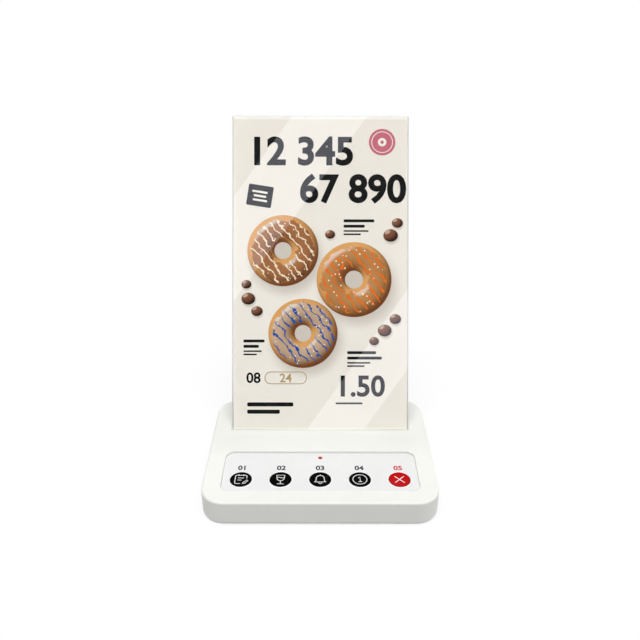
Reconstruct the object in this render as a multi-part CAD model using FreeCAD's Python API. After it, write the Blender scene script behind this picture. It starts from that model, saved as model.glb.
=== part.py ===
"""Waiter call button with five keys and a slanted clear menu holder.

A low white housing of two mouldings stands on four rubber feet.  Five round keys reach through a
printed keypad film and press five tact switches on a circuit board.  A lens over the keys carries
the light of an indicator LED.  A coin cell lies in a twist door in the underside.  Behind the keys
a slanted slot carries a clear pocket of two panels, and a printed card slides into its open top.

Frame: X to the right, Y to the back, Z up.  The origin is the middle of the housing's footprint,
on the table.  All sizes are in millimetres.
"""

import FreeCAD, Part
import math
import os

Vector = FreeCAD.Vector
X_AXIS, Z_AXIS = Vector(1, 0, 0), Vector(0, 0, 1)

# ---------------------------------------------------------------- housing
base_width = 110.0
base_depth = 82.0
base_height = 12.8          # both mouldings together, without the feet
corner_radius = 11.0        # of the housing seen from above
top_edge_round = 1.0
side_wall = 2.0
top_wall = 2.2
floor_wall = 1.8
seam_height = 1.3           # of the bottom cover's edge that shows below the top cover
seam_inset = 0.35           # by which that edge stands back
bottom_edge_bevel = 0.4
lip_height = 2.0            # of the rim that locates the top cover
lip_wall = 1.2
fit_gap = 0.15              # between mouldings that plug together
table_gap = 0.8             # by which the feet lift the housing

# ---------------------------------------------------------------- feet and housing screws
foot_diameter = 9.0
foot_thickness = 1.6
foot_chamfer = 0.4
foot_gap = 0.2              # round each foot in its recess
foot_inset_x = 19.0         # from the housing's side to the foot's centre
foot_inset_y = 8.5
housing_screw_inset = 8.0   # from both sides to each corner screw
housing_screw_shank = 2.2
housing_screw_length = 7.0
housing_screw_head = 4.4
housing_screw_head_height = 1.6
screw_head_gap = 0.4        # round a screw's head in its counterbore
screw_sink = 0.6            # by which a head lies below the surface
thread_gap = 0.05           # round a shank in its pilot hole
pilot_spare = 0.5           # depth of a pilot hole beyond its screw
screw_web = 1.4             # plastic under a head
boss_wall = 1.9             # round a housing screw's pilot hole

# ---------------------------------------------------------------- keypad
key_names = ("order", "water", "call", "bill", "cancel")
key_side_margin = 17.6      # from the housing's side to the outer keys' centres
key_row_from_front = 17.1
key_diameter = 10.0
key_gap = 0.25              # round each key in its holes
key_proud = 0.15            # height of a key above the film
key_edge_bevel = 0.15
key_travel = 0.4
key_stop_gap = 0.1          # between a key's flange and the cover
key_flange_reach = 1.3
key_flange_thickness = 0.8
key_skirt_wall = 0.8        # of the hollow key
key_face_thickness = 1.1
key_post_diameter = 3.6
key_lug_width = 2.4         # of the lug that keeps a key from turning
key_lug_reach = 1.6
key_rib_thickness = 1.0     # of the two ribs that the lug slides between
key_rib_height = 2.0

film_side_margin = 9.0      # from the housing's side to the film's edge
film_depth = 27.7
film_radius = 4.0
film_thickness = 0.4
film_gap = 0.4              # round the film in its recess
film_front_margin = 8.4     # from the key row to the film's front edge
recess_depth = 1.3

indicator_diameter = 2.0
indicator_from_row = 15.9
indicator_gap = 0.1
indicator_flange_diameter = 4.0
indicator_flange_thickness = 0.8
indicator_led_gap = 0.1

# ---------------------------------------------------------------- tact switches
switch_width = 6.0
switch_housing_height = 2.2
switch_plate_thickness = 0.25
switch_overall_height = 3.4
switch_plunger_diameter = 3.2
switch_plunger_gap = 0.2
switch_plunger_flange = 0.5
switch_plunger_flange_thickness = 0.7
switch_well_spare = 0.2     # left under the plunger's flange when the key is pressed home
switch_leg_width = 0.9
switch_leg_spread = 1.9     # from the middle of the switch to a leg's middle
switch_foot_length = 1.1

# ---------------------------------------------------------------- circuit board
board_side_margin = 12.0    # from the housing's side to the board's edge
board_depth = 42.0
board_thickness = 1.2
board_radius = 2.0
board_from_front = 4.5      # from the housing's front to the board's edge
board_screw_inset = 3.5
board_screw_shank = 2.0
board_screw_length = 4.0
board_screw_head = 3.6
board_screw_head_height = 1.3
board_hole_gap = 0.2
board_post_wall = 1.5

control_chip_length = 10.0
control_chip_width = 3.9
radio_chip_length = 4.9
radio_chip_width = 3.9
chip_height = 1.4
chip_standoff = 0.15
chip_pin_pitch = 1.27
chip_pin_width = 0.42
chip_pin_reach = 1.0
chip_pin_thickness = 0.2
chip_row_from_front = 25.5  # from the housing's front to the chips' centres
control_chip_inset = 19.0   # from the board's right side to the chip's centre
radio_chip_inset = 30.5     # from the board's left side to the chip's centre
crystal_length = 9.6
crystal_width = 3.6
crystal_height = 3.2
crystal_flange_reach = 0.4
crystal_flange_thickness = 0.4
crystal_x = 9.0
crystal_from_front = 38.5
indicator_led_length = 3.2
indicator_led_width = 1.6
indicator_led_height = 1.1
passive_length = 2.0
passive_width = 1.25
passive_height = 0.8
passive_pitch = 3.4
passive_count = 5
passive_first_x = -7.0      # from the radio chip's centre to the nearest small part
passive_from_chip_row = 6.5
antenna_strip = 0.8         # width of the stamped strip
antenna_thickness = 0.3
antenna_run = 7.0           # length of each run, front to back
antenna_pitch = 2.2         # from one run to the next
antenna_runs = 7
antenna_inset = 7.5         # from the board's left side to the first run
antenna_from_front = 37.5
antenna_lift = 1.0          # of the strip above the board

# ---------------------------------------------------------------- coin cell and its door
cell_diameter = 20.0
cell_height = 3.2
cell_cap_diameter = 17.6
cell_cap_height = 0.3
cell_gap = 0.25             # round the cell in its ring
cell_from_front = 31.0
door_thickness = 1.4
door_gap = 0.1              # between the door and the floor that it turns in
door_side_gap = 0.25
door_ring_wall = 1.1
door_ledge_width = 2.0      # of the floor that the door's lugs hook over
door_ledge_thickness = 1.0
door_lug_count = 3
door_lug_angle = 24.0
door_notch_slack = 6.0      # degrees by which a notch is wider than its lug
door_lug_thickness = 0.8
door_turn = 45.0            # from locked to free
door_pad_wall = 1.6
coin_slot_length = 13.0
coin_slot_width = 1.8
coin_slot_depth = 0.7
contact_strip = 0.25
contact_width = 4.0
contact_pad_length = 2.6

# ---------------------------------------------------------------- menu holder
holder_lean = 27.5          # degrees back from upright
holder_width = 91.5
holder_visible_length = 163.0
panel_thickness = 1.5
panel_corner_radius = 0.8
panel_edge_chamfer = 0.25
card_thickness = 0.5
card_gap = 0.15             # between the card and each panel, and at its sides
card_above_mouth = 0.3      # from the slot's mouth to the card's lower edge
card_below_top = 0.6        # from the card's upper edge to the panels' edge
side_strip_width = 0.5
slot_from_front = 54.5      # from the housing's front to the holder's face, at the top surface
slot_depth = 7.5            # along the slant
slot_gap = 0.15
slot_end_gap = 0.3
slot_mouth_chamfer = 0.35
slot_pocket_wall = 1.4
pocket_rib_thickness = 1.2
pocket_rib_spacing = 30.0

# ---------------------------------------------------------------- levels and places
base_front = -base_depth / 2
key_pitch = (base_width - 2 * key_side_margin) / (len(key_names) - 1)
film_width = base_width - 2 * film_side_margin
board_width = base_width - 2 * board_side_margin
floor_bottom = table_gap
floor_top = floor_bottom + floor_wall
seam_level = floor_bottom + seam_height
lip_top = seam_level + lip_height
base_top = table_gap + base_height
cover_underside = base_top - top_wall
recess_floor = base_top - recess_depth
film_top = recess_floor + film_thickness

key_row_y = base_front + key_row_from_front
key_hole_diameter = key_diameter + 2 * key_gap
key_top = film_top + key_proud
key_flange_top = cover_underside - key_stop_gap
key_bottom = key_flange_top - key_flange_thickness
key_flange_diameter = key_hole_diameter + 2 * key_flange_reach
key_centres = [(place - (len(key_names) - 1) / 2) * key_pitch for place in range(len(key_names))]

film_y = key_row_y - film_front_margin + film_depth / 2
indicator_y = key_row_y + indicator_from_row

board_top = key_bottom - switch_overall_height
switch_plate_bottom = board_top + switch_housing_height
plunger_flange_bottom = switch_plate_bottom - key_stop_gap - switch_plunger_flange_thickness
switch_well_bottom = plunger_flange_bottom - key_travel - switch_well_spare
board_bottom = board_top - board_thickness
board_y = base_front + board_from_front + board_depth / 2
control_chip_x = board_width / 2 - control_chip_inset
radio_chip_x = radio_chip_inset - board_width / 2
antenna_x = antenna_inset - board_width / 2
board_screw_places = [
    (side * (board_width / 2 - board_screw_inset), board_y + end * (board_depth / 2 - board_screw_inset))
    for side in (-1, 1)
    for end in (-1, 1)
]

housing_screw_places = [
    (side * (base_width / 2 - housing_screw_inset), end * (base_depth / 2 - housing_screw_inset))
    for side in (-1, 1)
    for end in (-1, 1)
]
housing_screw_seat = floor_bottom + screw_sink + housing_screw_head_height
boss_bottom = housing_screw_seat + screw_web
foot_places = {
    end_name + "_" + side_name + "_foot": (
        side * (base_width / 2 - foot_inset_x),
        end * (base_depth / 2 - foot_inset_y),
    )
    for end, end_name in ((-1, "front"), (1, "rear"))
    for side, side_name in ((-1, "left"), (1, "right"))
}

cell_y = base_front + cell_from_front
door_top = floor_bottom + door_thickness
cell_bottom = door_top
cell_top = cell_bottom + cell_height
ring_inner_radius = cell_diameter / 2 + cell_gap
ring_outer_radius = ring_inner_radius + door_ring_wall
ledge_hole_radius = ring_outer_radius + door_side_gap
door_radius = ledge_hole_radius + door_ledge_width
door_recess_radius = door_radius + door_side_gap
lug_radius = ledge_hole_radius + door_ledge_width / 2
ledge_bottom = door_top + door_gap
ledge_top = ledge_bottom + door_ledge_thickness
lug_bottom = ledge_top + door_gap
lug_top = lug_bottom + door_lug_thickness

card_slot_gap = card_thickness + 2 * card_gap
holder_thickness = 2 * panel_thickness + card_slot_gap
rear_panel_start = panel_thickness + card_slot_gap
card_width = holder_width - 2 * (side_strip_width + card_gap)
card_length = holder_visible_length - card_above_mouth - card_below_top
slot_mouth_y = base_front + slot_from_front


# ---------------------------------------------------------------- shapes used by many pieces
def rounded_plate(width, depth, height, radius, x, y, z):
    """An upright slab with rounded corners, centred on x and y, standing on z."""
    half_w, half_d = width / 2, depth / 2
    turn = radius * (1 - math.sqrt(0.5))
    edges = []
    for side_x, side_y in ((1, 1), (-1, 1), (-1, -1), (1, -1)):
        beside = Vector(side_x * half_w, side_y * (half_d - radius), 0)
        middle = Vector(side_x * (half_w - turn), side_y * (half_d - turn), 0)
        ahead = Vector(side_x * (half_w - radius), side_y * half_d, 0)
        corner = (beside, middle, ahead) if side_x == side_y else (ahead, middle, beside)
        if edges:
            edges.append(Part.LineSegment(edges[-1].EndPoint, corner[0]))
        edges.append(Part.Arc(*corner))
    edges.append(Part.LineSegment(edges[-1].EndPoint, edges[0].StartPoint))
    outline = Part.Wire([edge.toShape() for edge in edges])
    slab = Part.Face(outline).extrude(Vector(0, 0, height))
    slab.translate(Vector(x, y, z))
    return slab


def block(width, depth, height, x, y, z):
    """A box centred on x and y, standing on z."""
    return Part.makeBox(width, depth, height, Vector(x - width / 2, y - depth / 2, z))


def disc(diameter, height, x, y, z):
    """An upright cylinder standing on z."""
    return Part.makeCylinder(diameter / 2, height, Vector(x, y, z), Z_AXIS)


def joined(first, *others):
    """One solid from pieces that touch or overlap."""
    return first.fuse(list(others)).removeSplitter()


def edges_at(shape, level, round_only=False):
    """The edges of a shape that lie flat at one height."""
    found = []
    for edge in shape.Edges:
        box = edge.BoundBox
        flat = abs(box.ZMin - level) < 1e-4 and abs(box.ZMax - level) < 1e-4
        if flat and (not round_only or isinstance(edge.Curve, Part.Circle)):
            found.append(edge)
    return found


def leaned(shape):
    """Moves a piece from the holder's own upright frame to its slanted place.

    That frame has X across, Y through the thickness to the back and Z along the holder, and its
    origin is on the holder's face at the slot's mouth.
    """
    moved = shape.copy()
    moved.rotate(Vector(0, 0, 0), X_AXIS, -holder_lean)
    moved.translate(Vector(0, slot_mouth_y, base_top))
    return moved


def save(node, shape):
    """Writes one piece, or one group of separate pieces, to its file."""
    if not shape.isValid():
        raise ValueError(node + " is not a valid solid")
    shape.exportStep(os.path.join("parts", node + ".step"))


def screw(shank, length, head, head_height, x, y, seat, downwards):
    """A screw with a bevelled head and a cross recess, its head bearing on the level named seat."""
    head_disc = disc(head, head_height, 0, 0, -head_height)
    head_disc = head_disc.makeChamfer(head_height / 3, edges_at(head_disc, -head_height, round_only=True))
    recess_length, recess_width, recess_sink = 0.55 * head, 0.17 * head, 0.5 * head_height
    cross = [
        block(recess_length, recess_width, recess_sink, 0, 0, -head_height),
        block(recess_width, recess_length, recess_sink, 0, 0, -head_height),
    ]
    body = joined(head_disc, disc(shank, length, 0, 0, 0)).cut(cross)
    if downwards:
        body.rotate(Vector(0, 0, 0), X_AXIS, 180)
    body.translate(Vector(x, y, seat))
    return body


# ---------------------------------------------------------------- housing
def slot_cavity():
    """The space in which the holder's foot stands, with a chamfer round its mouth."""
    width = holder_width + 2 * slot_end_gap
    thickness = holder_thickness + 2 * slot_gap
    reach = holder_thickness + top_wall
    return leaned(block(width, thickness, slot_depth + reach, 0, holder_thickness / 2, -slot_depth))


def slot_pocket():
    """The moulded wall round the slot, below the top surface."""
    width = holder_width + 2 * (slot_end_gap + slot_pocket_wall)
    thickness = holder_thickness + 2 * (slot_gap + slot_pocket_wall)
    height = slot_depth + slot_pocket_wall + top_wall
    bottom = -slot_depth - slot_pocket_wall
    pocket = leaned(block(width, thickness, height, 0, holder_thickness / 2, bottom))
    return pocket.common(block(base_width, base_depth, cover_underside, 0, 0, 0))


def slot_mouth_bevel():
    """A shallow wedge that bevels the slot's mouth in the top surface."""
    slant = math.radians(holder_lean)
    depth = (holder_thickness + 2 * slot_gap) / math.cos(slant)
    middle = slot_mouth_y + (holder_thickness / 2) / math.cos(slant)
    width = holder_width + 2 * slot_end_gap
    lower = Part.makePolygon(mouth_corners(width, depth, middle, base_top - slot_mouth_chamfer))
    grown = 2 * slot_mouth_chamfer
    upper = Part.makePolygon(mouth_corners(width + grown, depth + grown, middle, base_top))
    return Part.makeLoft([lower, upper], True)


def mouth_corners(width, depth, y, z):
    """A closed rectangle's corners at one height."""
    corners = [(-1, -1), (1, -1), (1, 1), (-1, 1), (-1, -1)]
    return [Vector(side * width / 2, y + end * depth / 2, z) for side, end in corners]


def pocket_ribs():
    """Upright ribs that tie the slot's pocket to the housing's rear wall."""
    rear_wall_inside = base_depth / 2 - side_wall
    start = slot_mouth_y + holder_thickness
    height = cover_underside - lip_top - fit_gap
    ribs = []
    for place in (-1, 0, 1):
        rib = block(
            pocket_rib_thickness,
            rear_wall_inside - start + side_wall / 2,
            height,
            place * pocket_rib_spacing,
            (rear_wall_inside + start + side_wall / 2) / 2,
            cover_underside - height,
        )
        ribs.append(rib.cut(slot_cavity()))
    return ribs


def key_guides():
    """Two ribs under the cover beside each key's lug."""
    guides = []
    offset = key_lug_width / 2 + key_gap + key_rib_thickness / 2
    start = key_row_y + key_flange_diameter / 2 + key_gap
    length = key_lug_reach + key_rib_thickness
    for x in key_centres:
        for side in (-1, 1):
            guides.append(
                block(
                    key_rib_thickness,
                    length,
                    key_rib_height,
                    x + side * offset,
                    start + length / 2,
                    cover_underside - key_rib_height,
                )
            )
    return guides


def top_cover():
    """The upper moulding: top, side walls, keypad recess, slot pocket, bosses and guides."""
    outside = rounded_plate(
        base_width, base_depth, base_top - seam_level, corner_radius, 0, 0, seam_level
    )
    outside = outside.makeFillet(top_edge_round, edges_at(outside, base_top))
    inside = rounded_plate(
        base_width - 2 * side_wall,
        base_depth - 2 * side_wall,
        cover_underside - seam_level,
        corner_radius - side_wall,
        0,
        0,
        seam_level,
    )
    boss_diameter = housing_screw_shank + 2 * (thread_gap + boss_wall)
    bosses = [
        disc(boss_diameter, cover_underside - boss_bottom, x, y, boss_bottom)
        for x, y in housing_screw_places
    ]
    shell = joined(outside.cut(inside), slot_pocket(), *bosses, *key_guides(), *pocket_ribs())

    cuts = [slot_cavity(), slot_mouth_bevel()]
    cuts.append(
        rounded_plate(
            film_width + 2 * film_gap,
            film_depth + 2 * film_gap,
            recess_depth,
            film_radius + film_gap,
            0,
            film_y,
            recess_floor,
        )
    )
    cuts += [disc(key_hole_diameter, top_wall, x, key_row_y, cover_underside) for x in key_centres]
    cuts.append(
        disc(indicator_diameter + 2 * indicator_gap, top_wall, 0, indicator_y, cover_underside)
    )
    pilot = housing_screw_shank + 2 * thread_gap
    pilot_depth = housing_screw_length - screw_web + pilot_spare
    cuts += [disc(pilot, pilot_depth, x, y, boss_bottom) for x, y in housing_screw_places]
    return shell.cut(cuts)


def bottom_cover():
    """The lower moulding: floor, locating rim, board posts, screw seats and the door's ledge."""
    floor = rounded_plate(
        base_width - 2 * seam_inset,
        base_depth - 2 * seam_inset,
        seam_height,
        corner_radius - seam_inset,
        0,
        0,
        floor_bottom,
    )
    floor = floor.makeChamfer(bottom_edge_bevel, edges_at(floor, floor_bottom))
    rim_inset = side_wall + fit_gap
    rim_block = rounded_plate(
        base_width - 2 * rim_inset,
        base_depth - 2 * rim_inset,
        lip_top - seam_level,
        corner_radius - rim_inset,
        0,
        0,
        seam_level,
    )
    rim_inside = rounded_plate(
        base_width - 2 * (rim_inset + lip_wall),
        base_depth - 2 * (rim_inset + lip_wall),
        lip_top - floor_top,
        corner_radius - rim_inset - lip_wall,
        0,
        0,
        floor_top,
    )
    post_diameter = board_screw_shank + 2 * (thread_gap + board_post_wall)
    post_bottom = floor_bottom + seam_height / 2
    posts = [
        disc(post_diameter, board_bottom - post_bottom, x, y, post_bottom) for x, y in board_screw_places
    ]
    head_hole = housing_screw_head + 2 * screw_head_gap
    seat_diameter = head_hole + 2 * screw_web
    seats = [
        disc(seat_diameter, boss_bottom - floor_top, x, y, floor_top) for x, y in housing_screw_places
    ]
    door_pad_diameter = 2 * (door_recess_radius + door_pad_wall)
    door_pad = disc(door_pad_diameter, ledge_top - floor_bottom, 0, cell_y, floor_bottom)
    foot_seat = foot_diameter + 2 * foot_gap
    tray = joined(floor, rim_block.cut(rim_inside), *posts, *seats, door_pad)

    cuts = [disc(2 * door_recess_radius, ledge_bottom - floor_bottom, 0, cell_y, floor_bottom)]
    cuts.append(disc(2 * ledge_hole_radius, ledge_top - floor_bottom, 0, cell_y, floor_bottom))
    cuts += lug_sectors(
        ledge_hole_radius - door_side_gap,
        lug_radius + door_side_gap,
        ledge_bottom,
        ledge_top - ledge_bottom,
        door_lug_angle + door_notch_slack,
        -door_turn,
    )
    foot_sink = foot_thickness - table_gap
    cuts += [disc(foot_seat, foot_sink, x, y, floor_bottom) for x, y in foot_places.values()]
    for x, y in housing_screw_places:
        cuts.append(disc(head_hole, housing_screw_seat - floor_bottom, x, y, floor_bottom))
        cuts.append(
            disc(housing_screw_shank + 2 * screw_head_gap, boss_bottom - floor_bottom, x, y, floor_bottom)
        )
    pilot_depth = board_screw_length - board_thickness + pilot_spare
    cuts += [
        disc(board_screw_shank + 2 * thread_gap, pilot_depth, x, y, board_bottom - pilot_depth)
        for x, y in board_screw_places
    ]
    return tray.cut(cuts)


def lug_sectors(inner_radius, outer_radius, z, height, angle, turned):
    """Ring sectors evenly spaced round the coin cell's axis, each centred on its own direction."""
    sectors = []
    for place in range(door_lug_count):
        middle = 90 + 360.0 * place / door_lug_count + turned
        outer = Part.makeCylinder(outer_radius, height, Vector(0, cell_y, z), Z_AXIS, angle)
        inner = Part.makeCylinder(inner_radius, height, Vector(0, cell_y, z), Z_AXIS)
        sector = outer.cut(inner)
        sector.rotate(Vector(0, cell_y, z), Z_AXIS, middle - angle / 2)
        sectors.append(sector)
    return sectors


def foot(x, y):
    """A rubber foot with a bevelled lower edge."""
    pad = disc(foot_diameter, foot_thickness, x, y, 0)
    return pad.makeChamfer(foot_chamfer, edges_at(pad, 0, round_only=True))


def battery_door():
    """The round twist door: disc with a coin slot, a ring round the cell and hooking lugs."""
    cover = disc(2 * door_radius, door_thickness, 0, cell_y, floor_bottom)
    cover = cover.makeChamfer(bottom_edge_bevel / 2, edges_at(cover, floor_bottom, round_only=True))
    ring = disc(2 * ring_outer_radius, lug_top - door_top, 0, cell_y, door_top)
    ring = ring.cut(disc(2 * ring_inner_radius, lug_top - door_top, 0, cell_y, door_top))
    lugs = lug_sectors(
        (ring_inner_radius + ring_outer_radius) / 2,
        lug_radius,
        lug_bottom,
        door_lug_thickness,
        door_lug_angle,
        0,
    )
    door = joined(cover, ring, *lugs)
    coin_slot = rounded_plate(
        coin_slot_length,
        coin_slot_width,
        coin_slot_depth,
        0.49 * coin_slot_width,
        0,
        cell_y,
        floor_bottom,
    )
    return door.cut(coin_slot)


# ---------------------------------------------------------------- keypad
def keypad_film():
    """The printed film with holes for the keys and the indicator."""
    film = rounded_plate(film_width, film_depth, film_thickness, film_radius, 0, film_y, recess_floor)
    holes = [disc(key_hole_diameter, film_thickness, x, key_row_y, recess_floor) for x in key_centres]
    holes.append(
        disc(indicator_diameter + 2 * indicator_gap, film_thickness, 0, indicator_y, recess_floor)
    )
    return film.cut(holes)


def key_cap(x):
    """A hollow round key with a retaining flange, a locating lug and a post on the switch."""
    column = disc(key_diameter, key_top - key_bottom, x, key_row_y, key_bottom)
    column = column.makeChamfer(key_edge_bevel, edges_at(column, key_top, round_only=True))
    flange = disc(key_flange_diameter, key_flange_thickness, x, key_row_y, key_bottom)
    lug_length = key_flange_diameter / 2 + key_gap + key_lug_reach
    lug = block(
        key_lug_width, lug_length, key_flange_thickness, x, key_row_y + lug_length / 2, key_bottom
    )
    hollow = disc(
        key_diameter - 2 * key_skirt_wall,
        key_top - key_bottom - key_face_thickness,
        x,
        key_row_y,
        key_bottom,
    )
    post = disc(key_post_diameter, key_top - key_bottom - key_face_thickness, x, key_row_y, key_bottom)
    return joined(column, flange, lug).cut(hollow.cut(post))


def indicator_lens():
    """The light guide from the LED to the film's surface, with a flange under the cover."""
    led_top = board_top + indicator_led_height
    lens_bottom = led_top + indicator_led_gap
    pin = disc(indicator_diameter, film_top - lens_bottom, 0, indicator_y, lens_bottom)
    flange = disc(
        indicator_flange_diameter,
        indicator_flange_thickness,
        0,
        indicator_y,
        cover_underside - indicator_flange_thickness,
    )
    return joined(pin, flange)


# ---------------------------------------------------------------- tact switches
def switch_housing(x):
    """The moulded body of a switch, with the square well that its plunger's flange moves in."""
    body = block(switch_width, switch_width, switch_housing_height, x, key_row_y, board_top)
    well_width = switch_plunger_diameter + 2 * (switch_plunger_flange + switch_plunger_gap)
    well_depth = switch_plate_bottom - switch_well_bottom
    return body.cut(block(well_width, well_width, well_depth, x, key_row_y, switch_well_bottom))


def switch_frame(x):
    """The metal plate over a switch, with four legs down to the board."""
    thickness = switch_plate_thickness
    plate = block(switch_width, switch_width, thickness, x, key_row_y, switch_plate_bottom)
    hole_diameter = switch_plunger_diameter + 2 * switch_plunger_gap
    plate = plate.cut(disc(hole_diameter, thickness, x, key_row_y, switch_plate_bottom))
    legs = []
    for side in (-1, 1):
        leg_x = x + side * (switch_width + thickness) / 2
        toe_x = x + side * (switch_width + switch_foot_length) / 2
        for end in (-1, 1):
            y = key_row_y + end * switch_leg_spread
            leg_height = switch_housing_height + thickness
            legs.append(block(thickness, switch_leg_width, leg_height, leg_x, y, board_top))
            legs.append(block(switch_foot_length, switch_leg_width, thickness, toe_x, y, board_top))
    return joined(plate, *legs)


def switch_plunger(x):
    """The plunger of a switch, which carries the key, with its square flange in the well."""
    stem_length = key_bottom - plunger_flange_bottom
    stem = disc(switch_plunger_diameter, stem_length, x, key_row_y, plunger_flange_bottom)
    flange_width = switch_plunger_diameter + 2 * switch_plunger_flange
    flange_height = switch_plunger_flange_thickness
    flange = block(flange_width, flange_width, flange_height, x, key_row_y, plunger_flange_bottom)
    return joined(stem, flange)


# ---------------------------------------------------------------- circuit board
def main_board():
    """The circuit board with its screw holes."""
    board = rounded_plate(board_width, board_depth, board_thickness, board_radius, 0, board_y, board_bottom)
    hole = board_screw_shank + 2 * board_hole_gap
    return board.cut([disc(hole, board_thickness, x, y, board_bottom) for x, y in board_screw_places])


def chip(length, width, pins_a_side, x):
    """A moulded chip with a row of bent pins along its front and its back."""
    y = base_front + chip_row_from_front
    body = block(length, width, chip_height, x, y, board_top + chip_standoff)
    pins = []
    for place in range(pins_a_side):
        pin_x = x + (place - (pins_a_side - 1) / 2) * chip_pin_pitch
        for side in (-1, 1):
            shoulder_y = y + side * (width / 2 + chip_pin_thickness)
            toe_y = y + side * (width / 2 + chip_pin_reach / 2)
            middle = board_top + chip_standoff + chip_height / 2
            drop = block(
                chip_pin_width, 2 * chip_pin_thickness, middle - board_top, pin_x, shoulder_y, board_top
            )
            toe = block(chip_pin_width, chip_pin_reach, chip_pin_thickness, pin_x, toe_y, board_top)
            pins += [drop, toe]
    return joined(body, *pins)


def crystal():
    """A can with round ends on a thin flange."""
    y = base_front + crystal_from_front
    can = rounded_plate(
        crystal_length, crystal_width, crystal_height, 0.45 * crystal_width, crystal_x, y, board_top
    )
    flange_length = crystal_length + 2 * crystal_flange_reach
    flange_width = crystal_width + 2 * crystal_flange_reach
    flange = rounded_plate(
        flange_length, flange_width, crystal_flange_thickness, 0.45 * flange_width, crystal_x, y, board_top
    )
    return joined(flange, can)


def indicator_led():
    """A small chip LED: a base with a clear block on it."""
    base = block(
        indicator_led_length, indicator_led_width, indicator_led_height / 2, 0, indicator_y, board_top
    )
    dome = block(
        0.6 * indicator_led_length,
        indicator_led_width,
        indicator_led_height,
        0,
        indicator_y,
        board_top,
    )
    return joined(base, dome)


def small_parts():
    """A row of resistors and capacitors behind the radio chip."""
    y = base_front + chip_row_from_front + passive_from_chip_row
    row = []
    for place in range(passive_count):
        x = radio_chip_x + passive_first_x - place * passive_pitch
        row.append(block(passive_width, passive_length, passive_height, x, y, board_top))
    return Part.makeCompound(row)


def antenna():
    """A stamped strip that runs to and fro over the board, on a leg at each end."""
    y = base_front + antenna_from_front
    z = board_top + antenna_lift
    strips = []
    for run in range(antenna_runs):
        x = antenna_x + run * antenna_pitch
        end = 1 if run % 2 == 0 else -1
        strips.append(block(antenna_strip, antenna_run, antenna_thickness, x, y, z))
        if run < antenna_runs - 1:
            bend_y = y + end * (antenna_run - antenna_strip) / 2
            bend_length = antenna_pitch + antenna_strip
            strips.append(
                block(bend_length, antenna_strip, antenna_thickness, x + antenna_pitch / 2, bend_y, z)
            )
    last_x = antenna_x + (antenna_runs - 1) * antenna_pitch
    for x, end in ((antenna_x, -1), (last_x, 1 if antenna_runs % 2 else -1)):
        leg_y = y + end * (antenna_run - antenna_thickness) / 2
        leg_height = antenna_lift + antenna_thickness
        strips.append(block(antenna_strip, antenna_thickness, leg_height, x, leg_y, board_top))
    return joined(*strips)


# ---------------------------------------------------------------- coin cell
def coin_cell():
    """The can of the cell with its smaller cap on top."""
    can_height = cell_height - cell_cap_height
    can = disc(cell_diameter, can_height, 0, cell_y, cell_bottom)
    can = can.makeChamfer(cell_cap_height, edges_at(can, cell_bottom, round_only=True))
    return joined(can, disc(cell_cap_diameter, cell_height, 0, cell_y, cell_bottom))


def cap_contact():
    """A leaf spring from the board's underside to the middle of the cell's cap."""
    pad_end = cell_diameter / 2 + contact_pad_length
    pad_start = pad_end - contact_pad_length
    touch = contact_pad_length
    profile = [
        Vector(pad_end, 0, board_bottom),
        Vector(pad_end, 0, board_bottom - contact_strip),
        Vector(pad_start, 0, board_bottom - contact_strip),
        Vector(touch, 0, cell_top),
        Vector(-touch, 0, cell_top),
        Vector(-touch, 0, cell_top + contact_strip),
        Vector(touch, 0, cell_top + contact_strip),
        Vector(pad_start, 0, board_bottom),
        Vector(pad_end, 0, board_bottom),
    ]
    leaf = Part.Face(Part.makePolygon(profile)).extrude(Vector(0, contact_width, 0))
    leaf.translate(Vector(0, cell_y - contact_width / 2, 0))
    return leaf


def can_contact():
    """A bracket from the board's underside to the side of the cell's can."""
    reach = cell_diameter / 2
    blade_bottom = lug_top + 2 * door_gap
    blade_x = -reach - contact_strip / 2
    blade_height = board_bottom - blade_bottom
    blade = block(contact_strip, contact_width, blade_height, blade_x, cell_y, blade_bottom)
    pad = block(
        contact_pad_length,
        contact_width,
        contact_strip,
        -reach - contact_pad_length / 2,
        cell_y,
        board_bottom - contact_strip,
    )
    return joined(blade, pad)


# ---------------------------------------------------------------- menu holder
def panel(start):
    """One clear panel of the holder, with small corner rounds and bevelled edges."""
    length = slot_depth + holder_visible_length
    sheet = rounded_plate(holder_width, length, panel_thickness, panel_corner_radius, 0, 0, 0)
    rims = edges_at(sheet, 0) + edges_at(sheet, panel_thickness)
    sheet = sheet.makeChamfer(panel_edge_chamfer, rims)
    # The sheet lies flat, so it is stood up, and its lower edge is put at the slot's floor.
    sheet.rotate(Vector(0, 0, 0), X_AXIS, 90)
    sheet.translate(Vector(0, start + panel_thickness, length / 2 - slot_depth))
    return leaned(sheet)


def side_strip(side):
    """A clear strip that joins the panels along one side."""
    middle = side * (holder_width - side_strip_width) / 2
    bottom = card_above_mouth
    height = holder_visible_length - bottom
    between = panel_thickness + card_slot_gap / 2
    return leaned(block(side_strip_width, card_slot_gap, height, middle, between, bottom))


def bottom_strip():
    """The clear strip that joins the panels in the slot and carries the card."""
    height = slot_depth + card_above_mouth
    between = panel_thickness + card_slot_gap / 2
    return leaned(block(holder_width, card_slot_gap, height, 0, between, -slot_depth))


def menu_card():
    """The printed card in the pocket."""
    between = panel_thickness + card_slot_gap / 2
    return leaned(block(card_width, card_thickness, card_length, 0, between, card_above_mouth))


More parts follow.
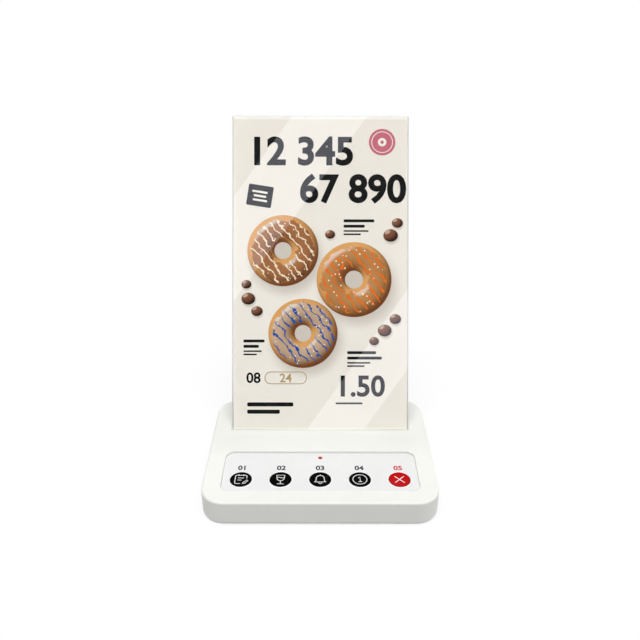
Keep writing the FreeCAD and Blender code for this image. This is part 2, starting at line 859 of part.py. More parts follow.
# ---------------------------------------------------------------- the whole button
def main():
    os.makedirs("parts", exist_ok=True)

    save("top_cover", top_cover())
    save("bottom_cover", bottom_cover())
    save("battery_door", battery_door())
    for name, (x, y) in foot_places.items():
        save(name, foot(x, y))
    housing_screws = [
        screw(
            housing_screw_shank,
            housing_screw_length,
            housing_screw_head,
            housing_screw_head_height,
            x,
            y,
            housing_screw_seat,
            False,
        )
        for x, y in housing_screw_places
    ]
    save("housing_screws", Part.makeCompound(housing_screws))

    save("keypad_film", keypad_film())
    save("indicator_lens", indicator_lens())
    for name, x in zip(key_names, key_centres):
        save(name + "_key_cap", key_cap(x))
        save(name + "_switch_plunger", switch_plunger(x))
        save(name + "_switch_frame", switch_frame(x))
        save(name + "_switch_housing", switch_housing(x))

    save("main_board", main_board())
    board_screws = [
        screw(
            board_screw_shank,
            board_screw_length,
            board_screw_head,
            board_screw_head_height,
            x,
            y,
            board_top,
            True,
        )
        for x, y in board_screw_places
    ]
    save("board_screws", Part.makeCompound(board_screws))
    save("control_chip", chip(control_chip_length, control_chip_width, 8, control_chip_x))
    save("radio_chip", chip(radio_chip_length, radio_chip_width, 4, radio_chip_x))
    save("crystal", crystal())
    save("indicator_led", indicator_led())
    save("small_parts", small_parts())
    save("antenna", antenna())

    save("coin_cell", coin_cell())
    save("cap_contact", cap_contact())
    save("can_contact", can_contact())

    save("front_panel", panel(0))
    save("rear_panel", panel(rear_panel_start))
    save("left_strip", side_strip(-1))
    save("right_strip", side_strip(1))
    save("bottom_strip", bottom_strip())
    save("menu_card", menu_card())


main()
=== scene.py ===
# %% [markdown]
# # Waiter call button with a menu holder
#
# A low white box stands on a table. It has five round keys in a row, a small lamp over the middle
# key and a menu card behind them, in a clear holder that leans back. The solid model already has
# every piece at its true size, so this lesson starts from it and never moves anything in it.

# %% Load the solid model
import math

import bmesh
import bpy
from mathutils import Matrix, Vector


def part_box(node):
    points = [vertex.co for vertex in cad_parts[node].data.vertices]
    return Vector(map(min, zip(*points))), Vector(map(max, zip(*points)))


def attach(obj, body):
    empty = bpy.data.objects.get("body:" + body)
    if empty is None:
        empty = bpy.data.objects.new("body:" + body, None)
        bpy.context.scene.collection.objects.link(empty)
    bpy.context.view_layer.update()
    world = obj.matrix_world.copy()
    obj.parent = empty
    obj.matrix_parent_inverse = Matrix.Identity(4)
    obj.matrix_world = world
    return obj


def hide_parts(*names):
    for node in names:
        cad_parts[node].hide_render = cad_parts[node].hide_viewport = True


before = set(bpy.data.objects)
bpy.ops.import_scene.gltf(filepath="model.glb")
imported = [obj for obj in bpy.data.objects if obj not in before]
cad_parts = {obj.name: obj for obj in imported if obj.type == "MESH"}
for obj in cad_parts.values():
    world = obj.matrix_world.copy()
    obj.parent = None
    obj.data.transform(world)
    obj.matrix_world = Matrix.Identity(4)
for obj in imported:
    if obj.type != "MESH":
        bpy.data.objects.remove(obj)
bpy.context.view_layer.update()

# %% [markdown]
# ## Camera
#
# The camera comes first, because every later choice is judged through it. It stands in front of
# the box and a little above it, as a waiter would, and looks down by about 28 degrees. A lens of
# 38.6 mm on a 36 mm sensor gives the perspective of a small thing seen from close by. The
# Standard view transform shows a colour as it is written, which white goods need.

# %% Camera
bpy.ops.object.select_all(action="DESELECT")
bpy.ops.object.camera_add(
    location=(-0.000734, -0.275130, 0.229210),
    rotation=(math.radians(62.339), math.radians(-0.119), math.radians(-0.039)),
)
camera = bpy.context.object
camera.name = "table_camera"
camera.data.sensor_width = 36.0
camera.data.lens = 38.557
camera.data.clip_start = 0.01
bpy.context.scene.camera = camera
bpy.context.scene.view_settings.view_transform = "Standard"
print("camera", camera.name, "with a lens of", round(camera.data.lens, 2), "mm")

# %% [markdown]
# ## Arithmetic for materials
#
# Most materials here are sums: a colour plus a little noise, a mask times another mask. Writing
# them as sums keeps them readable. This class holds one output of a node, and Python's own signs
# on it add Math nodes. Every other kind of node comes from its one method, node.


# %% A wire between nodes
class Wire:
    """One output of a shader node, which can be used in plain arithmetic."""

    def __init__(self, tree, socket=None):
        self.tree = tree
        self.socket = socket

    def node(self, kind, settings=None, inputs=None, output=0):
        """Adds a node: its settings first, then the values or wires of its inputs."""
        made = self.tree.nodes.new("ShaderNode" + kind)
        for name, value in (settings or {}).items():
            setattr(made, name, value)
        for name, value in (inputs or {}).items():
            if isinstance(value, Wire):
                self.tree.links.new(value.socket, made.inputs[name])
            else:
                made.inputs[name].default_value = value
        return Wire(self.tree, made.outputs[output])

    def math(self, operation, first, *others):
        """Adds a Math node for something that has no sign in Python."""
        return self.node("Math", {"operation": operation}, dict(enumerate((first, *others))))

    def __add__(self, other):
        return self.math("ADD", self, other)

    def __sub__(self, other):
        return self.math("SUBTRACT", self, other)

    def __rsub__(self, other):
        return self.math("SUBTRACT", other, self)

    def __mul__(self, other):
        return self.math("MULTIPLY", self, other)

    def __truediv__(self, other):
        return self.math("DIVIDE", self, other)

    def __lt__(self, other):
        return self.math("LESS_THAN", self, other)

    __radd__ = __add__
    __rmul__ = __mul__


# %% Short names for the steps that most materials take
def paint(red, green, blue):
    """A screen colour from 0 to 255 as the linear colour that a shader needs."""
    levels = (red, green, blue)
    linear = [((c / 255 + 0.055) / 1.055) ** 2.4 if c > 10 else c / 3295 for c in levels]
    return (*linear, 1.0)


def rise(value, low, high):
    """0 at low, 1 at high and a soft step between them; low may be the larger one."""
    return value.node(
        "MapRange",
        {"interpolation_type": "SMOOTHSTEP"},
        {"Value": value, "From Min": low, "From Max": high},
    )


def mixed(factor, under, over):
    """One colour laid over another by a factor."""
    return factor.node("Mix", {"data_type": "RGBA"}, {0: factor, 6: under, 7: over}, 2)


def noise(place, scale, detail=2.0):
    """Soft noise from 0 to 1, with its average near one half."""
    inputs = {"Vector": place, "Scale": scale, "Detail": detail}
    return place.node("TexNoise", {}, inputs, "Fac")


def relief(height, depth):
    """A bump of the given depth in metres."""
    return height.node("Bump", {}, {"Height": height, "Distance": depth}, "Normal")


def axes(place):
    """The three numbers of a vector."""
    split = place.node("SeparateXYZ", {}, {0: place})
    outputs = split.socket.node.outputs
    return [Wire(place.tree, outputs[axis]) for axis in "XYZ"]


def grey(level):
    """A number as a colour with three equal parts."""
    return level.node("CombineXYZ", {}, {0: level, 1: level, 2: level})


def bare(name):
    """A material with no shader yet, and the wire that its nodes start from."""
    material = bpy.data.materials.new(name)
    material.use_nodes = True
    material.node_tree.nodes.remove(material.node_tree.nodes["Principled BSDF"])
    return material, Wire(material.node_tree)


def show(shader):
    """Makes a shader the one that the material shows."""
    out = shader.tree.nodes["Material Output"]
    shader.tree.links.new(shader.socket, out.inputs["Surface"])


def coat(piece, finish):
    """Makes one material the whole finish of a piece."""
    piece.data.materials.clear()
    piece.data.materials.append(finish)


print("ten helpers for finishes")

# %% [markdown]
# ## Table and background
#
# The table is a large pale disc that fades into a white room. Light Path tells the shaders which
# rays look at them: the camera, mirrors and clear plastic see white, while the light that reaches
# the box stays modest, so the front wall keeps its shade. Far from the box the disc shines with
# a plain white of 1. Close to it a part of that white depends on the lamps, as on a matt surface,
# and this part keeps a soft shadow under the box.

# %% Rays that look at the background
def looking(wire):
    """Three masks of 1 for rays from the camera, from mirrors and through clear plastic.

    A ray that has left a matt surface carries light to it, so it counts as none of the three.
    """
    path = wire.node("LightPath").socket.node.outputs
    ray = {name: Wire(wire.tree, path[name]) for name in path.keys()}
    sight = ray["Diffuse Depth"] < 0.5
    return ray["Is Camera Ray"], ray["Is Glossy Ray"] * sight, ray["Is Transmission Ray"] * sight


# %% Room
room_light = 0.30
room_gloss = 0.12
world = bpy.data.worlds.new("pale_room")
bpy.context.scene.world = world
world.use_nodes = True
room = world.node_tree.nodes["Background"]
start = Wire(world.node_tree)
from_camera, from_mirror, from_clear = looking(start)
direction = start.node("TexCoord", {}, {}, "Generated")
behind_camera = rise(axes(direction)[1], -0.35, -0.60)
mirrored = 1.0 - behind_camera * (1.0 - room_gloss)
level = from_camera + (from_mirror + from_clear) * mirrored
level = level + (1.0 - from_camera - from_mirror - from_clear) * room_light
level.tree.links.new(grey(level).socket, room.inputs["Color"])
print("room gives", room_light, "of full light to the object")

# %% Table
table_radius = 1.5
below_feet = 0.00005
table_level = 0.375
shadow_depth = 0.20
bpy.ops.object.select_all(action="DESELECT")
bpy.ops.mesh.primitive_circle_add(
    vertices=128, radius=table_radius, fill_type="NGON", location=(0, 0, -below_feet)
)
table = bpy.context.object
table.name = "table"
surface, start = bare("pale_table")
from_camera, from_mirror, from_clear = looking(start)
seen = from_camera + from_mirror + from_clear
spot = start.node("TexCoord", {}, {}, "Object")
distance = spot.node("VectorMath", {"operation": "LENGTH"}, {0: spot}, "Value")
colour = grey(table_level + seen * (1.0 - table_level))
matt = start.node("BsdfDiffuse", {}, {"Color": colour})
white = start.node("Emission", {}, {"Color": colour, "Strength": 1.0})
own_light = 1.0 - rise(distance, 0.16, 0.07) * shadow_depth
show(start.node("MixShader", {}, {0: own_light, 1: matt, 2: white}))
coat(table, surface)
print("table with a radius of", table_radius, "m")

# %% [markdown]
# ## Lamps
#
# One large soft lamp hangs in front of the box and high up. From there it lights the flat top
# fully, the leaning card nearly as well and the upright front wall by about half, and the card's
# shadow falls behind the box. Three weak lamps stand low. The one at the back lifts that shadow,
# and the two at the sides brighten the round corners, the right one more. They hardly reach the
# flat top, because their light only grazes it. No glossy surface shows them.

# %% A soft lamp
def soft_lamp(name, location, rotation, wide, high, power, mirrored):
    """An area lamp; mirrored says whether glossy surfaces show it."""
    bpy.ops.object.select_all(action="DESELECT")
    bpy.ops.object.light_add(type="AREA", location=location, rotation=rotation)
    lamp = bpy.context.object
    lamp.name = name
    lamp.data.shape = "RECTANGLE"
    lamp.data.size = wide
    lamp.data.size_y = high
    lamp.data.energy = power
    lamp.visible_camera = mirrored
    lamp.visible_glossy = mirrored
    lamp.visible_transmission = False
    print(name, "of", power, "W")


# %% Main lamp
lamp_target = Vector((0.0, 0.0, 0.04))
lamp_distance = 1.8
lamp_height = math.radians(68.0)
lamp_way = Vector((0, -math.cos(lamp_height), math.sin(lamp_height)))
soft_lamp(
    "main_lamp", lamp_target + lamp_distance * lamp_way, (math.pi / 2 - lamp_height, 0, 0),
    wide=1.7, high=0.8, power=27.3, mirrored=True,
)

# %% Weak lamps behind and at the sides
weak_lamps = {
    "rear_lamp": ((0, 1.47, 0.33), (math.radians(-78), 0, 0), 1.6, 0.5, 9.0),
    "right_lamp": ((1.5, 0, 0.12), (0, math.pi / 2, 0), 0.2, 0.8, 4.2),
    "left_lamp": ((-1.5, 0, 0.12), (0, -math.pi / 2, 0), 0.2, 0.8, 0.8),
}
for name, lamp in weak_lamps.items():
    soft_lamp(name, *lamp, mirrored=False)

# %% [markdown]
# ## Where the leaning holder is
#
# Everything on the card is drawn flat and then leaned back into the slot. One matrix does this:
# its X axis runs across the card, its Y axis up along it, and its Z axis points out of the print.

# %% The card's own frame
mm = 0.001
lean = math.radians(27.5)
mouth = Vector((0.0, 13.5 * mm, 13.6 * mm))
into_slot = Vector((0.0, math.cos(lean), -math.sin(lean)))
card_face = 1.65 * mm


def on_card(lift):
    """The place of a flat print that lies a little above the card's face."""
    turned = Matrix.Rotation(math.pi / 2 - lean, 4, "X")
    return Matrix.Translation(mouth + into_slot * (card_face - lift)) @ turned


def card_axes(start):
    """Distances across the card and up along it, in millimetres, for a material."""
    turn = Matrix.Rotation(lean, 3, "X")
    inputs = {
        "Vector": start.node("TexCoord", {}, {}, "Object"),
        "Location": -(turn @ mouth) * 1000,
        "Rotation": (lean, 0.0, 0.0),
        "Scale": (1000.0, 1000.0, 1000.0),
    }
    return start.node("Mapping", {}, inputs)


print("the card leans back by", round(math.degrees(lean), 1), "degrees")

# %% [markdown]
# ## Two bands of light in the clear front
#
# A glossy sheet in a studio shows bright bands where it mirrors a lamp. They could be painted on
# the card, but then they would stay put when the card or the camera moves. So two diagonal strips
# of light stand behind the camera, seen only as reflections. Each corner is worked out with
# similar triangles, from the place on the card where its reflection should end.

# %% Strips of light seen in the clear front
strip_distance = 0.60
band_slope = 0.72
band_foot, band_head = -60, 230
bands = ((-131.9, -93.0), (-7.1, 22.5))
camera_height = (camera.location - mouth).dot(-into_slot)
camera_foot = on_card(0.0).inverted() @ camera.location
spread = 1 + strip_distance / camera_height


def strip_corner(start_across, up):
    """A corner of a strip whose reflection lies on a slanting line on the card."""
    across = start_across + band_slope * up
    x = camera_foot.x + (across * mm - camera_foot.x) * spread
    y = camera_foot.y + (up * mm - camera_foot.y) * spread
    return (x, y, strip_distance)


glow, start = bare("strip_of_light")
_, from_mirror, from_clear = looking(start)
unseen = start.node("BsdfTransparent")
shining = start.node("Emission", {}, {"Color": (0.96, 0.97, 1.10, 1.0), "Strength": 1.2})
show(start.node("MixShader", {}, {0: from_mirror + from_clear, 1: unseen, 2: shining}))
for number, (low, high) in enumerate(bands, 1):
    ends = ((low, band_foot), (high, band_foot), (high, band_head), (low, band_head))
    corners = [strip_corner(*end) for end in ends]
    bpy.ops.object.select_all(action="DESELECT")
    bpy.ops.mesh.primitive_plane_add(size=1.0)
    strip = bpy.context.object
    strip.name = f"strip_light_{number}"
    for vertex, corner in zip([strip.data.vertices[i] for i in (0, 1, 3, 2)], corners):
        vertex.co = on_card(0.0) @ Vector(corner)
    coat(strip, glow)
print("two strips of light behind the camera")

# %% [markdown]
# ## Finishes of the plastic parts
#
# The box is moulded in a warm white plastic with a very fine spark-eroded grain, which scatters
# the light softly. Up close the colour is not quite even. The lower edges that rub on the table
# have gone a little grey. Painted shade darkens the walls of the recess and a thin line round its
# front corners, and the top in front of the card is painted a shade greyer than behind it. The
# same recipe, with other colours and grains, makes the keys, the feet and the parts inside.

# %% An empty finish
def new_finish(name, **fixed):
    """A material; fixed holds the values that are the same all over the surface."""
    material = bpy.data.materials.new(name)
    material.use_nodes = True
    shader = material.node_tree.nodes["Principled BSDF"]
    for socket, value in fixed.items():
        shader.inputs[socket.replace("_", " ")].default_value = value
    return material, Wire(material.node_tree).node("TexCoord", {}, {}, "Object")


def feed(material, **wires):
    """Joins wires to the shader's sockets of the same names."""
    shader = material.node_tree.nodes["Principled BSDF"]
    for socket, wire in wires.items():
        wire.tree.links.new(wire.socket, shader.inputs[socket.replace("_", " ")])


def moulded(name, colour, shadow, grain, depth, rough, wear_and_shade_recipe=None, **fixed):
    """Moulded plastic: even colour, faint clouds, fine grain, and any rub marks and painted shade.
    """
    material, place = new_finish(name, **fixed)
    clouds = noise(place, 55.0, 4.0)
    fine = noise(place, grain, 3.0)
    body = mixed(rise(clouds, 0.35, 0.75) * 0.6, colour, shadow)
    roughness = rough + (fine - 0.5) * 0.16 + (clouds - 0.5) * 0.08
    if wear_and_shade_recipe is not None:
        # Rub marks and painted shade, where a finish has them, all mixed towards one grey.
        wear_and_shade_mask, wear_and_shade_colour = wear_and_shade_recipe(place)
        body = mixed(wear_and_shade_mask, body, wear_and_shade_colour)
        roughness = roughness + wear_and_shade_mask * 0.15
    feed(material, Base_Color=body, Roughness=roughness, Normal=relief(fine, depth))
    return material


# %% Distance from the recess
recess_middle = -18.45 * mm
recess_half = (46.4 * mm, 14.25 * mm)
recess_corner = 4.4 * mm


def from_recess(x, y):
    """How far a place lies outside the rounded outline of the recess."""
    over = x.math("ABSOLUTE", x) - (recess_half[0] - recess_corner)
    out = y.math("ABSOLUTE", y - recess_middle) - (recess_half[1] - recess_corner)
    over, out = over.math("MAXIMUM", over, 0.0), out.math("MAXIMUM", out, 0.0)
    return over.math("SQRT", over * over + out * out) - recess_corner


print("recess", 2 * recess_half[0] / mm, "mm wide and", 2 * recess_half[1] / mm, "mm deep")


# %% White housing
def wear_and_painted_shade(place):
    """Rub marks on the lowest edges; painted shade in and round the recess and before the card."""
    x, y, z = axes(place)
    low = rise(z, 2.1 * mm, 1.2 * mm) * rise(z, 0.82 * mm, 0.95 * mm)
    rubbed = low * rise(noise(place, 260.0, 3.0), 0.50, 0.68)
    outside = from_recess(x, y)
    # Painted shade: the walls of the recess a little darker, as shade falls there.
    recess_shade = (outside < 0.3 * mm) * rise(z, 13.45 * mm, 13.15 * mm) * rise(z, 12.0 * mm, 12.2 * mm)
    # Painted shade: a thin grey line round the recess at its front corners.
    rim = rise(outside, 0.60 * mm, 0.15 * mm) * rise(outside, -0.1 * mm, 0.0)
    corners = rise(y, -26.0 * mm, -29.0 * mm) * rise(x.math("ABSOLUTE", x), 38.0 * mm, 43.0 * mm)
    rim = rim * corners * rise(z, 13.3 * mm, 13.5 * mm)
    # Painted shade: the top a shade greyer in front of the card than behind it.
    front_shade = rise(y, -12.0 * mm, 8.0 * mm) * rise(y, 36.0 * mm, 16.0 * mm)
    front_shade = front_shade * rise(z, 3.0 * mm, 8.0 * mm)
    # Real rub marks mixed with the painted shades above, all towards one grey.
    wear_and_shade = rubbed * 0.45 + recess_shade * 0.04 + rim * 0.30 + front_shade * 0.13
    return wear_and_shade, paint(172, 171, 164)


# Its emission strength serves the painted glow at the slot's lip, set further down.
housing_white = moulded(
    "housing_white", paint(243, 244, 239), paint(239, 240, 234), 5200.0, 0.012 * mm, 0.46,
    wear_and_shade_recipe=wear_and_painted_shade, Emission_Strength=1.0,
)
print("finish", housing_white.name)

# %% [markdown]
# ## Painted glow in the slot
#
# White plastic isn't quite opaque: light wanders through its thin lips, so a narrow gap between
# two white parts never looks black. Subsurface shading could show that, but it is slow, and here
# it matters in one line only, at the foot of the card. So the lip of the slot, and later the strip
# in it, gets a painted glow: a faint emission of its own, through a mask in millimetres round the
# slot, that lightens the shade in the gap.


# %% Painted glow at the lip of the slot
def painted_glow(material, where, colour):
    """A painted glow of a thin part, an emission that lightens shade, where the mask is 1."""
    feed(material, Emission_Color=mixed(where, paint(0, 0, 0), colour))


across, depth, up = axes(card_axes(Wire(housing_white.node_tree)))
# Painted glow: the lip of the slot emits a faint light that lightens the shade in the gap.
lip = rise(depth, -0.55, -0.45) * rise(depth, 0.10, 0.05) * rise(up, -3.0, -2.0)
lip = lip * rise(across.math("ABSOLUTE", across), 46.4, 46.2)
painted_glow(housing_white, lip, paint(144, 144, 141))
print("lip of the slot in", housing_white.name)

# %% [markdown]
# ## Printed film
#
# The film is a sheet of plastic, printed in a cool grey, with a white ring left round each key.
# Five ring meshes could lie on it, but a mask costs nothing: a ping-pong of x counts the distance
# to the nearest key, so one ring in the material serves all five.

# %% Printed film
key_pitch = 18.7 * mm
key_row = -23.9 * mm
key_radius = 5.0 * mm
key_places = {
    name: (number - 2) * key_pitch
    for number, name in enumerate(("order", "water", "call", "bill", "cancel"))
}


def ring_masks(place):
    """A printed white ring round each key: 1 on the rings and 0 elsewhere."""
    x, y, _ = axes(place)
    near = x.math("PINGPONG", x + 2.5 * key_pitch, key_pitch / 2)
    offset = near - key_pitch / 2
    away = y - key_row
    radius = y.math("SQRT", offset * offset + away * away)
    return rise(radius, key_radius + 0.85 * mm, key_radius + 0.70 * mm)


film_print, place = new_finish("film_print", Specular_IOR_Level=0.42)
fine = noise(place, 9000.0, 2.0)
mottled = rise(noise(place, 900.0, 3.0), 0.3, 0.8)
film_grey = mixed(mottled * 0.5, paint(237, 237, 237), paint(232, 232, 232))
film_body = mixed(ring_masks(place), film_grey, paint(247, 248, 247))
feed(
    film_print,
    Base_Color=film_body,
    Roughness=0.40 + (fine - 0.5) * 0.2 + mottled * 0.06,
    Normal=relief(fine, 0.006 * mm),
)
print("finish", film_print.name)

# %% [markdown]
# ## Keys and inks
#
# The keys are moulded in black and red plastic with nearly no shine, so they stay dark in a
# bright room. Screen-printed ink lies on them and on the film, a little thinner in tiny spots.

# %% Keys and inks
key_surface = (6500.0, 0.006 * mm, 0.42)
key_black = moulded(
    "key_black", paint(3, 3, 3), paint(6, 6, 6), *key_surface, Specular_IOR_Level=0.02
)
key_red = moulded(
    "key_red", paint(190, 8, 16), paint(178, 6, 14), *key_surface, Specular_IOR_Level=0.06
)


def ink(name, colour, thin):
    """Screen-printed ink, a little thinner in tiny spots."""
    material, place = new_finish(name, Specular_IOR_Level=0.3)
    spots = rise(noise(place, 5200.0, 2.0), 0.52, 0.75)
    feed(
        material,
        Base_Color=mixed(spots * 0.5, colour, thin),
        Roughness=0.5 + spots * 0.2,
        Normal=relief(spots, -0.004 * mm),
    )
    return material


pictogram_white = ink("pictogram_white", paint(240, 240, 240), paint(214, 214, 214))
label_dark = ink("label_dark", paint(38, 38, 40), paint(62, 62, 64))
label_red = ink("label_red", paint(205, 30, 40), paint(216, 62, 68))
print("finishes for keys and inks")

# %% [markdown]
# ## Covers and door
#
# The solid model's meshes are loose triangles, so its round corners look faceted. Here each
# outer part is copied, its triangles are welded together, and its shading is smoothed across
# shallow angles only. A weighted-normal modifier then keeps the large flats truly flat. Remaking
# these parts by hand would only risk their exact fit.

# %% A welded and smoothed copy of a solid node
weld_distance = 0.001 * mm
smooth_angle = 35.0


def only(piece):
    """Selects one piece and makes it the active one."""
    bpy.ops.object.select_all(action="DESELECT")
    piece.select_set(True)
    bpy.context.view_layer.objects.active = piece


def welded(node, body, finish):
    """Copies a node, merges its triangles, smooths its shading and lets the copy stand for it."""
    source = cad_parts[node]
    piece = source.copy()
    piece.data = source.data.copy()
    piece.name = node + "_shell"
    piece.parent = None
    bpy.context.scene.collection.objects.link(piece)
    only(piece)
    bpy.ops.object.mode_set(mode="EDIT")
    bpy.ops.mesh.select_all(action="SELECT")
    bpy.ops.mesh.remove_doubles(threshold=weld_distance)
    bpy.ops.object.mode_set(mode="OBJECT")
    bpy.ops.mesh.customdata_custom_splitnormals_clear()
    bpy.ops.object.shade_smooth_by_angle(angle=math.radians(smooth_angle))
    weights = piece.modifiers.new("even_flats", "WEIGHTED_NORMAL")
    weights.keep_sharp = True
    bpy.ops.object.modifier_apply(modifier=weights.name)
    coat(piece, finish)
    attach(piece, body)
    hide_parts(node)
    return piece


covers = {"top_cover": "base", "bottom_cover": "base", "battery_door": "battery_door"}
for node, body in covers.items():
    shell = welded(node, body, housing_white)
    print(shell.name, len(shell.data.polygons), "faces")
film = welded("keypad_film", "base", film_print)
print(film.name, len(film.data.polygons), "faces")

# %% [markdown]
# ## Key caps
#
# Each key is a hollow moulded button. A wide flange at its foot keeps it from falling out, a lug
# on the flange keeps it from turning, and a post inside it stands on the switch. Its face is
# sunk a little inside a rounded rim, so that a fingertip finds it. One cap is shaped from a
# cylinder by insetting and extruding, and then copied for the other four keys.

# %% Choosing faces and edges in code
level_error = 0.002 * mm


def choose(kind, test):
    """In edit mode, selects just the faces or edges that pass a test."""
    bpy.ops.mesh.select_mode(type={"faces": "FACE", "edges": "EDGE"}[kind])
    bpy.ops.mesh.select_all(action="DESELECT")
    mesh = bmesh.from_edit_mesh(bpy.context.object.data)
    for part in getattr(mesh, kind):
        if test(part):
            part.select_set(True)
    bmesh.update_edit_mesh(bpy.context.object.data)


def pull(y=0.0, z=0.0):
    """Extrudes what is selected, backwards or upwards."""
    bpy.ops.mesh.extrude_region_move(TRANSFORM_OT_translate={"value": (0.0, y, z)})


def at_height(part, z):
    """True if all of a face's or an edge's corners are at one height."""
    return all(abs(corner.co.z - z) < level_error for corner in part.verts)


def round_bar(radius, bottom, top, y, corners=64):
    """Adds an upright cylinder with its place in its mesh, and opens it for editing."""
    bpy.ops.object.select_all(action="DESELECT")
    bpy.ops.mesh.primitive_cylinder_add(
        vertices=corners, radius=radius, depth=top - bottom, location=(0, y, (top + bottom) / 2)
    )
    bpy.ops.object.transform_apply(location=True, rotation=True, scale=True)
    bpy.ops.object.mode_set(mode="EDIT")
    return bpy.context.object


def finished(piece, name, body, finish, angle=smooth_angle):
    """Closes the editing of a piece, smooths it, and gives it its name, body and finish."""
    if bpy.context.object.mode == "EDIT":
        bpy.ops.object.mode_set(mode="OBJECT")
    bpy.ops.object.shade_smooth_by_angle(angle=math.radians(angle))
    piece.name = name
    coat(piece, finish)
    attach(piece, body)
    return piece


# %% One cap, seen from above
cap_low, cap_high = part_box("call_key_cap")
flange_radius = cap_high.x
flange_top = cap_low.z + 0.8 * mm
side_wall = 0.8 * mm
face_wall = 1.1 * mm
post_radius = 1.8 * mm
rim_width = 0.45 * mm
rim_drop = 0.07 * mm
rim_round = 0.16 * mm
cap = round_bar(flange_radius, cap_low.z, flange_top, key_row)
choose("faces", lambda face: at_height(face, flange_top))
bpy.ops.mesh.inset(thickness=flange_radius - key_radius)
pull(z=cap_high.z - flange_top)
bpy.ops.mesh.inset(thickness=rim_width)
bpy.ops.transform.translate(value=(0, 0, -rim_drop))


def outer_rim(edge):
    """True for an edge between the cap's face and its upright side."""
    between = at_height(edge, cap_high.z) and len(edge.link_faces) == 2
    return between and min(face.normal.z for face in edge.link_faces) < 0.5


choose("edges", outer_rim)
bpy.ops.mesh.bevel(offset=rim_round, segments=4, profile=0.5)
print("cap from", round(cap_low.z / mm, 2), "to", round(cap_high.z / mm, 2), "mm high")

# %% Its hollow, its post and its lug
choose("faces", lambda face: at_height(face, cap_low.z))
bpy.ops.mesh.inset(thickness=flange_radius - key_radius + side_wall)
pull(z=cap_high.z - face_wall - cap_low.z)
bpy.ops.mesh.inset(thickness=key_radius - side_wall - post_radius)
pull(z=cap_low.z - cap_high.z + face_wall)
lug_half = 1.2 * mm


def on_lug(face):
    """True for the few faces at the back of the flange that become the lug."""
    middle = face.calc_center_median()
    behind = face.normal.y > 0.98 and middle.y > key_row + key_radius + 0.5 * mm
    return behind and middle.z < flange_top and abs(middle.x) < lug_half


choose("faces", on_lug)
pull(y=cap_high.y - key_row - flange_radius)
bpy.ops.transform.resize(value=(1, 0, 1), center_override=(0, cap_high.y, cap_low.z))
bpy.ops.object.mode_set(mode="OBJECT")
print("cap with", len(cap.data.polygons), "faces")

# %% [markdown]
# ## Pictograms
#
# The thin white drawings on the keys are strokes of one even width, like those of a pen. A curve
# with a round bevel draws such a stroke, and pressing it almost flat turns it into a layer of ink
# with soft edges. Each drawing is a list of open or closed lines, given in millimetres from the
# middle of its key.

# %% Pen strokes
stroke_half = 0.19
bold_stroke_half = 0.22
ink_lift = 0.012 * mm
print_angle = 20.0


def arc(x, y, radius_x, radius_y, first, last, steps=20):
    """Points along part of an ellipse, with its angles in degrees."""
    angles = [math.radians(first + (last - first) * i / steps) for i in range(steps + 1)]
    return [(x + radius_x * math.cos(a), y + radius_y * math.sin(a)) for a in angles]


def drawn(name, lines, half_width):
    """Draws lines of (closed, points) with one pen and presses them flat."""
    curve = bpy.data.curves.new(name, "CURVE")
    curve.dimensions = "3D"
    curve.bevel_depth = half_width * mm
    curve.bevel_resolution = 2
    curve.use_fill_caps = True
    for closed, points in lines:
        spline = curve.splines.new("POLY")
        spline.points.add(len(points) - 1)
        for point, (x, y) in zip(spline.points, points):
            point.co = (x * mm, y * mm, 0.0, 1.0)
        spline.use_cyclic_u = closed
    drawing = bpy.data.objects.new(name, curve)
    bpy.context.scene.collection.objects.link(drawing)
    only(drawing)
    bpy.ops.object.convert(target="MESH")
    bpy.ops.object.mode_set(mode="EDIT")
    bpy.ops.mesh.select_all(action="SELECT")
    bpy.ops.transform.resize(value=(1, 1, ink_lift / (half_width * mm)), center_override=(0, 0, 0))
    bpy.ops.object.mode_set(mode="OBJECT")
    return bpy.context.object


notepad = [
    (False, [(-0.1, -3.0), (-2.2, -3.0), (-2.7, -2.6), (-2.7, 2.4), (-2.2, 2.8), (2.2, 2.8),
             (2.7, 2.4), (2.7, 0.7)]),
    (False, [(-1.1, 3.4), (-1.1, 2.3)]),
    (False, [(1.1, 3.4), (1.1, 2.3)]),
    (False, [(-1.5, 0.9), (1.3, 0.9)]),
    (False, [(-1.5, -0.6), (0.3, -0.6)]),
    (True, [(2.8, -0.5), (3.4, -1.1), (1.8, -2.9), (1.0, -3.1), (1.1, -2.3)]),
]
goblet = [
    (True, arc(0.0, 1.1, 1.8, 2.1, 195, 345) + [(1.9, 2.9), (-1.9, 2.9)]),
    (False, [(-1.8, 1.2), (-0.6, 1.4), (0.6, 0.9), (1.8, 1.2)]),
    (False, [(0.0, -1.0), (0.0, -3.1)]),
    (False, [(-1.6, -3.2), (1.6, -3.2)]),
]
bell = [
    (False, [(-2.7, -1.8), (-2.0, -1.1)] + arc(0.0, 0.7, 1.9, 2.0, 180, 0)
     + [(2.0, -1.1), (2.7, -1.8)]),
    (False, [(-2.7, -1.8), (2.7, -1.8)]),
    (False, [(0.0, 2.7), (0.0, 3.3)]),
    (False, arc(0.0, -1.9, 0.9, 1.0, 200, 340)),
]
coin = [
    (True, arc(0.0, 0.0, 3.3, 3.3, 0, 350, 35)),
    (False, [(-0.8, 0.9), (0.1, 1.7), (0.1, -1.6)]),
    (False, [(-0.9, -1.6), (1.1, -1.6)]),
]
cross = [(False, [(-2.2, -2.2), (2.2, 2.2)]), (False, [(-2.2, 2.2), (2.2, -2.2)])]
drawings = {"order": notepad, "water": goblet, "call": bell, "bill": coin, "cancel": cross}
print("five drawings")

# %% Five keys with their drawings
def own_copy(piece, x):
    """A copy with its own mesh, moved sideways inside it."""
    copy = piece.copy()
    copy.data = piece.data.copy()
    bpy.context.scene.collection.objects.link(copy)
    copy.data.transform(Matrix.Translation((x, 0, 0)))
    only(copy)
    return copy


